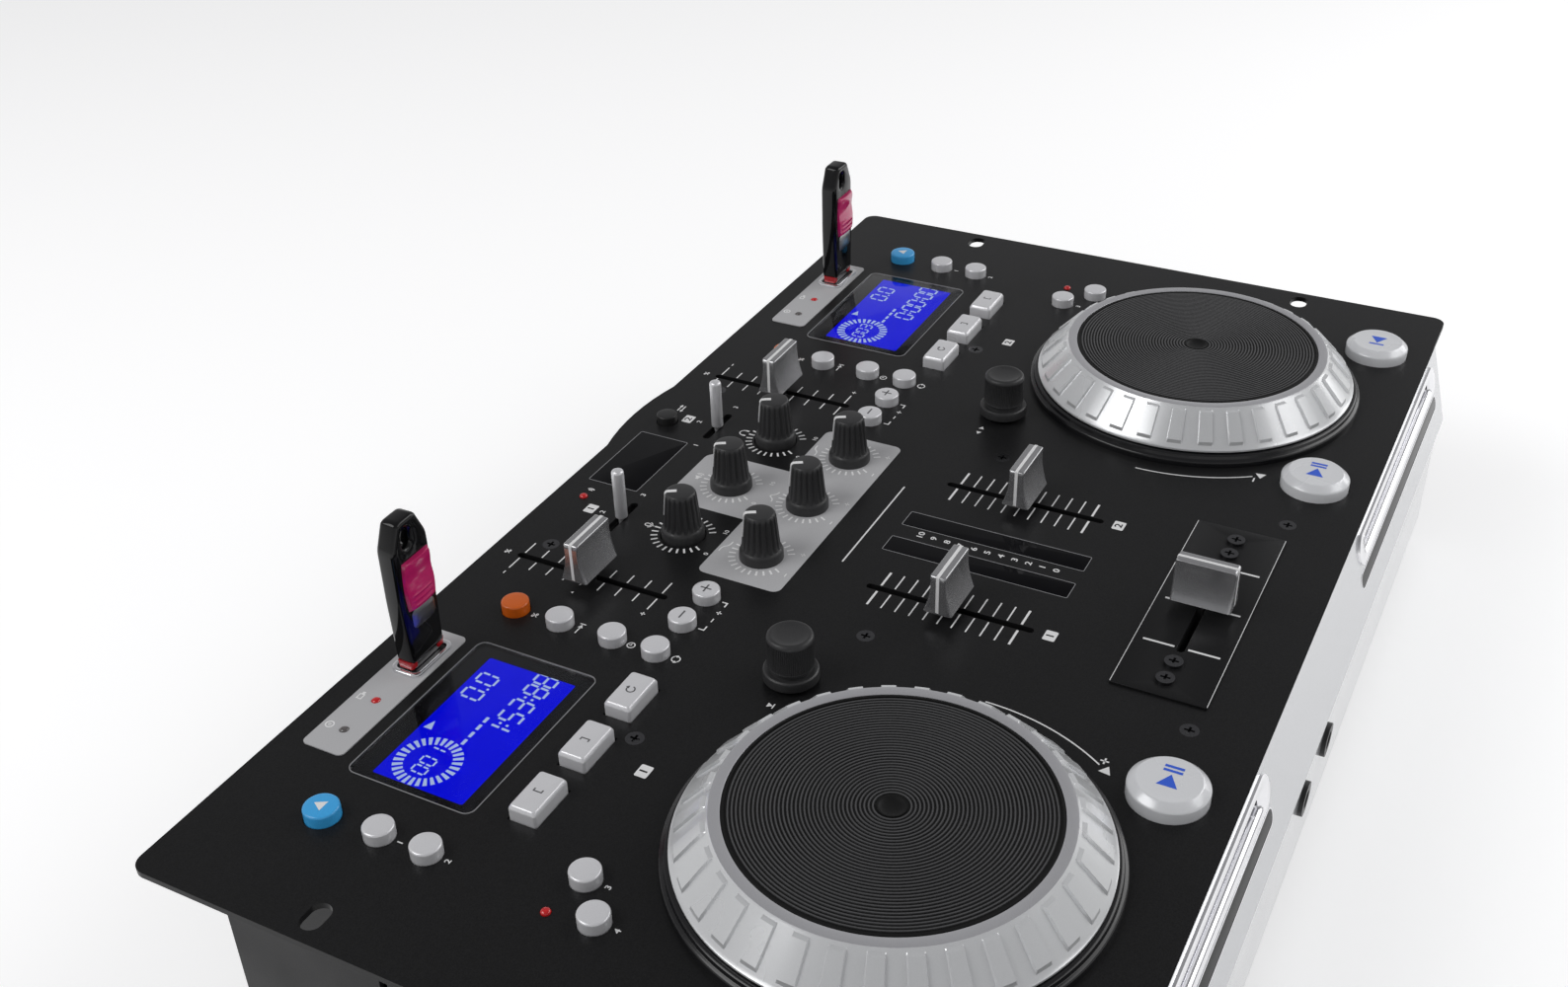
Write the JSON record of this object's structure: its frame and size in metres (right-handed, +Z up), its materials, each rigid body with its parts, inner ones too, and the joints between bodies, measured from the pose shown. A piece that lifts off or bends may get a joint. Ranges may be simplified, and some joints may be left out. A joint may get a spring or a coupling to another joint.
{
  "type": "dual disc player with mixer",
  "caption": "Rack-mount two-deck disc and USB player with jog wheels, pitch faders, blue displays and a central mixer with crossfader.",
  "frame": {"origin": "on the surface under the feet, below the middle of the overall box", "axes": "+X to the right along the panel, +Y to the back, +Z up"},
  "size_m": [0.4826, 0.286, 0.147],
  "materials": {
    "panel_black": "fine textured satin black powder coat",
    "case_black": "satin black powder coat on steel",
    "fascia_silver": "bright silver lacquer, glossy",
    "bright_trim": "polished plating",
    "smoked_window": "dark glossy acrylic",
    "display_lens": "clear tinted acrylic with a black border",
    "lcd_blue": "lit blue display with pale segments",
    "plate_grey": "flat light grey print",
    "key_silver": "pearl silver, satin",
    "play_white": "pearl white, satin",
    "key_blue": "light blue, satin",
    "key_orange": "orange, satin",
    "key_black": "black, satin",
    "knob_black": "dark grey soft-touch moulding",
    "cap_grey": "dark metallic grey lacquer",
    "jog_silver": "satin silver lacquer",
    "jog_black": "black, finely grooved, glossy",
    "base_black": "black moulding",
    "steel_axle": "turned steel",
    "screw_black": "black oxide steel",
    "foot_rubber": "black rubber",
    "led_red": "clear red lens",
    "drive_metal": "bare pressed metal",
    "board_green": "green circuit board",
    "inner_plastic": "black and metal components",
    "socket_black": "black moulding with plated contacts",
    "stick_black": "black, glossy, with a pink slider",
    "switch_black": "black, glossy"
  },
  "bodies": {
    "player": {"top_panel": "panel_black", "housing": "case_black", "front_fascia": "fascia_silver", "slot_trims": "bright_trim", "display_windows": "display_lens", "lcd_modules": "lcd_blue", "smoked_windows": "smoked_window", "usb_plates": "plate_grey", "usb_sockets": "bright_trim", "crossfader_plate": "panel_black", "panel_screws": "screw_black", "status_leds": "led_red", "jog_base_rings": "base_black", "jog_spindles": "steel_axle", "feet": "foot_rubber", "cd_drives": "drive_metal", "circuit_boards": "board_green", "control_bodies": "inner_plastic", "connectors": "socket_black"},
    "knob_mic": {"knob_mic": "knob_black"},
    "knob_master": {"knob_master": "knob_black"},
    "knob_phones": {"knob_phones": "knob_black"},
    "knob_low": {"knob_low": "knob_black"},
    "knob_mid": {"knob_mid": "knob_black"},
    "knob_high": {"knob_high": "knob_black"},
    "jog_a": {"jog_ring_a": "jog_silver", "jog_disc_a": "jog_black"},
    "encoder_shaft_a": {"encoder_shaft_a": "steel_axle"},
    "encoder_knob_a": {"encoder_knob_a": "knob_black"},
    "pitch_cap_a": {"pitch_cap_a": "cap_grey"},
    "channel_cap_a": {"channel_cap_a": "cap_grey"},
    "source_lever_a": {"source_lever_a": "bright_trim"},
    "usb_stick_a": {"usb_stick_a": "stick_black"},
    "play_a": {"play_a": "play_white"},
    "cue_a": {"cue_a": "play_white"},
    "eject_a": {"eject_a": "key_blue"},
    "pitch_button_a": {"pitch_button_a": "key_orange"},
    "loop_buttons_a": {"loop_buttons_a": "key_silver"},
    "mode_buttons_a": {"mode_buttons_a": "key_silver"},
    "bend_buttons_a": {"bend_buttons_a": "key_silver"},
    "outer_buttons_a": {"outer_buttons_a": "key_silver"},
    "jog_b": {"jog_ring_b": "jog_silver", "jog_disc_b": "jog_black"},
    "encoder_shaft_b": {"encoder_shaft_b": "steel_axle"},
    "encoder_knob_b": {"encoder_knob_b": "knob_black"},
    "pitch_cap_b": {"pitch_cap_b": "cap_grey"},
    "channel_cap_b": {"channel_cap_b": "cap_grey"},
    "source_lever_b": {"source_lever_b": "bright_trim"},
    "usb_stick_b": {"usb_stick_b": "stick_black"},
    "play_b": {"play_b": "play_white"},
    "cue_b": {"cue_b": "play_white"},
    "eject_b": {"eject_b": "key_blue"},
    "pitch_button_b": {"pitch_button_b": "key_orange"},
    "loop_buttons_b": {"loop_buttons_b": "key_silver"},
    "mode_buttons_b": {"mode_buttons_b": "key_silver"},
    "bend_buttons_b": {"bend_buttons_b": "key_silver"},
    "outer_buttons_b": {"outer_buttons_b": "key_silver"},
    "crossfader_cap": {"crossfader_cap": "cap_grey"},
    "sync_button": {"sync_button": "key_black"},
    "power_switch": {"power_switch": "switch_black"}
  },
  "joints": [
    {"name": "knob_mic_turn", "type": "hinge", "parent": "player", "child": "knob_mic", "pos_m": [-0.035, 0.07695, 0.092], "axis": [0, 0, 1], "range_deg": [-180, 120]},
    {"name": "knob_master_turn", "type": "hinge", "parent": "player", "child": "knob_master", "pos_m": [0, 0.07695, 0.092], "axis": [0, 0, 1], "range_deg": [-180, 120]},
    {"name": "knob_phones_turn", "type": "hinge", "parent": "player", "child": "knob_phones", "pos_m": [0.035, 0.07695, 0.092], "axis": [0, 0, 1], "range_deg": [-180, 120]},
    {"name": "knob_low_turn", "type": "hinge", "parent": "player", "child": "knob_low", "pos_m": [-0.035, 0.04575, 0.092], "axis": [0, 0, 1], "range_deg": [-180, 120]},
    {"name": "knob_mid_turn", "type": "hinge", "parent": "player", "child": "knob_mid", "pos_m": [0, 0.04575, 0.092], "axis": [0, 0, 1], "range_deg": [-180, 120]},
    {"name": "knob_high_turn", "type": "hinge", "parent": "player", "child": "knob_high", "pos_m": [0.035, 0.04575, 0.092], "axis": [0, 0, 1], "range_deg": [-180, 120]},
    {"name": "jog_a_spin", "type": "hinge", "parent": "player", "child": "jog_a", "pos_m": [-0.1444, -0.0531, 0.092], "axis": [0, 0, 1], "continuous": true},
    {"name": "encoder_a_push", "type": "slide", "parent": "player", "child": "encoder_shaft_a", "axis": [0, 0, 1], "range_m": [-0.0008, 0], "stiffness_N_per_m": 400, "springref_m": 0.0006},
    {"name": "encoder_a_turn", "type": "hinge", "parent": "encoder_shaft_a", "child": "encoder_knob_a", "pos_m": [-0.0898, 0.00595, 0.092], "axis": [0, 0, 1], "continuous": true},
    {"name": "pitch_a_slide", "type": "slide", "parent": "player", "child": "pitch_cap_a", "axis": [0, 1, 0], "range_m": [-0.0275, 0.0275]},
    {"name": "channel_a_slide", "type": "slide", "parent": "player", "child": "channel_cap_a", "axis": [0, 1, 0], "range_m": [-0.027, 0.027]},
    {"name": "source_a_slide", "type": "slide", "parent": "player", "child": "source_lever_a", "axis": [1, 0, 0], "range_m": [-0.007, 0.007]},
    {"name": "usb_stick_a_pull", "type": "slide", "parent": "player", "child": "usb_stick_a", "axis": [0, 0, 1], "range_m": [0, 0.012]},
    {"name": "play_a_press", "type": "slide", "parent": "player", "child": "play_a", "axis": [0, 0, 1], "range_m": [-0.0012, 0], "stiffness_N_per_m": 300, "springref_m": 0.0006},
    {"name": "cue_a_press", "type": "slide", "parent": "player", "child": "cue_a", "axis": [0, 0, 1], "range_m": [-0.0012, 0], "stiffness_N_per_m": 300, "springref_m": 0.0006},
    {"name": "eject_a_press", "type": "slide", "parent": "player", "child": "eject_a", "axis": [0, 0, 1], "range_m": [-0.0012, 0], "stiffness_N_per_m": 300, "springref_m": 0.0006},
    {"name": "pitch_button_a_press", "type": "slide", "parent": "player", "child": "pitch_button_a", "axis": [0, 0, 1], "range_m": [-0.0012, 0], "stiffness_N_per_m": 300, "springref_m": 0.0006},
    {"name": "loop_buttons_a_press", "type": "slide", "parent": "player", "child": "loop_buttons_a", "axis": [0, 0, 1], "range_m": [-0.0012, 0], "stiffness_N_per_m": 300, "springref_m": 0.0006},
    {"name": "mode_buttons_a_press", "type": "slide", "parent": "player", "child": "mode_buttons_a", "axis": [0, 0, 1], "range_m": [-0.0012, 0], "stiffness_N_per_m": 300, "springref_m": 0.0006},
    {"name": "bend_buttons_a_press", "type": "slide", "parent": "player", "child": "bend_buttons_a", "axis": [0, 0, 1], "range_m": [-0.0012, 0], "stiffness_N_per_m": 300, "springref_m": 0.0006},
    {"name": "outer_buttons_a_press", "type": "slide", "parent": "player", "child": "outer_buttons_a", "axis": [0, 0, 1], "range_m": [-0.0012, 0], "stiffness_N_per_m": 300, "springref_m": 0.0006},
    {"name": "jog_b_spin", "type": "hinge", "parent": "player", "child": "jog_b", "pos_m": [0.1444, -0.0531, 0.092], "axis": [0, 0, 1], "continuous": true},
    {"name": "encoder_b_push", "type": "slide", "parent": "player", "child": "encoder_shaft_b", "axis": [0, 0, 1], "range_m": [-0.0008, 0], "stiffness_N_per_m": 400, "springref_m": 0.0006},
    {"name": "encoder_b_turn", "type": "hinge", "parent": "encoder_shaft_b", "child": "encoder_knob_b", "pos_m": [0.0898, 0.00595, 0.092], "axis": [0, 0, 1], "continuous": true},
    {"name": "pitch_b_slide", "type": "slide", "parent": "player", "child": "pitch_cap_b", "axis": [0, 1, 0], "range_m": [-0.0275, 0.0275]},
    {"name": "channel_b_slide", "type": "slide", "parent": "player", "child": "channel_cap_b", "axis": [0, 1, 0], "range_m": [-0.027, 0.027]},
    {"name": "source_b_slide", "type": "slide", "parent": "player", "child": "source_lever_b", "axis": [1, 0, 0], "range_m": [-0.007, 0.007]},
    {"name": "usb_stick_b_pull", "type": "slide", "parent": "player", "child": "usb_stick_b", "axis": [0, 0, 1], "range_m": [0, 0.012]},
    {"name": "play_b_press", "type": "slide", "parent": "player", "child": "play_b", "axis": [0, 0, 1], "range_m": [-0.0012, 0], "stiffness_N_per_m": 300, "springref_m": 0.0006},
    {"name": "cue_b_press", "type": "slide", "parent": "player", "child": "cue_b", "axis": [0, 0, 1], "range_m": [-0.0012, 0], "stiffness_N_per_m": 300, "springref_m": 0.0006},
    {"name": "eject_b_press", "type": "slide", "parent": "player", "child": "eject_b", "axis": [0, 0, 1], "range_m": [-0.0012, 0], "stiffness_N_per_m": 300, "springref_m": 0.0006},
    {"name": "pitch_button_b_press", "type": "slide", "parent": "player", "child": "pitch_button_b", "axis": [0, 0, 1], "range_m": [-0.0012, 0], "stiffness_N_per_m": 300, "springref_m": 0.0006},
    {"name": "loop_buttons_b_press", "type": "slide", "parent": "player", "child": "loop_buttons_b", "axis": [0, 0, 1], "range_m": [-0.0012, 0], "stiffness_N_per_m": 300, "springref_m": 0.0006},
    {"name": "mode_buttons_b_press", "type": "slide", "parent": "player", "child": "mode_buttons_b", "axis": [0, 0, 1], "range_m": [-0.0012, 0], "stiffness_N_per_m": 300, "springref_m": 0.0006},
    {"name": "bend_buttons_b_press", "type": "slide", "parent": "player", "child": "bend_buttons_b", "axis": [0, 0, 1], "range_m": [-0.0012, 0], "stiffness_N_per_m": 300, "springref_m": 0.0006},
    {"name": "outer_buttons_b_press", "type": "slide", "parent": "player", "child": "outer_buttons_b", "axis": [0, 0, 1], "range_m": [-0.0012, 0], "stiffness_N_per_m": 300, "springref_m": 0.0006},
    {"name": "crossfader_slide", "type": "slide", "parent": "player", "child": "crossfader_cap", "axis": [1, 0, 0], "range_m": [-0.0235, 0.0235]},
    {"name": "sync_button_press", "type": "slide", "parent": "player", "child": "sync_button", "axis": [0, 0, 1], "range_m": [-0.0012, 0], "stiffness_N_per_m": 300, "springref_m": 0.0006},
    {"name": "power_rock", "type": "hinge", "parent": "player", "child": "power_switch", "pos_m": [0.138, 0.1315, 0.042], "axis": [1, 0, 0], "range_deg": [-14, 0]}
  ]
}
